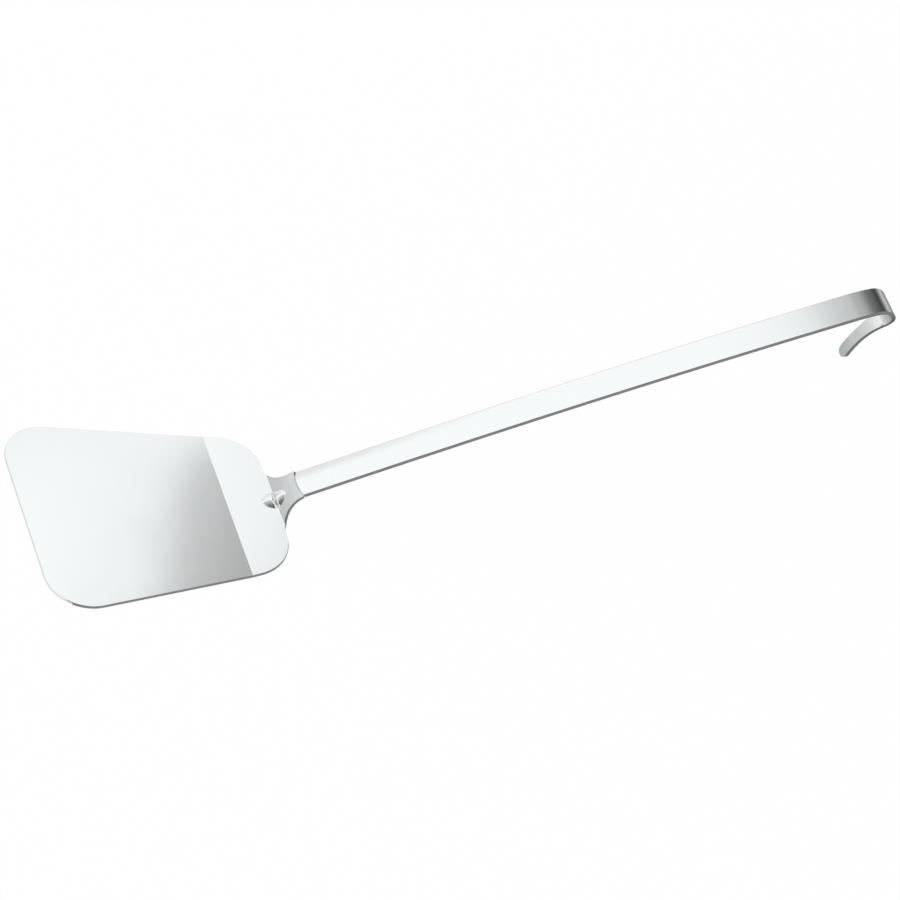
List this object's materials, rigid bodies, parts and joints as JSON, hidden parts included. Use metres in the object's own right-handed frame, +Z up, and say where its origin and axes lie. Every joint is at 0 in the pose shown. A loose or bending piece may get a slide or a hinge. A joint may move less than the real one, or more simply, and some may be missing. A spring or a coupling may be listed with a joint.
{
  "type": "turner",
  "caption": "Sheet-steel kitchen turner: wide blade with rounded corners, bent-up neck with a pressed dart, and a long strip handle rolled into a hanging hook.",
  "frame": {"origin": "middle of the underside of the flat part of the blade", "axes": "+X along the blade's middle towards the handle and its hook, +Z up, out of the blade's upper face"},
  "size_m": [0.4998, 0.137, 0.1479],
  "materials": {
    "polished_steel": "polished",
    "weld_steel": "ground"
  },
  "bodies": {
    "root": {"blade": "polished_steel", "handle": "polished_steel", "neck_weld": "weld_steel"}
  },
  "joints": []
}
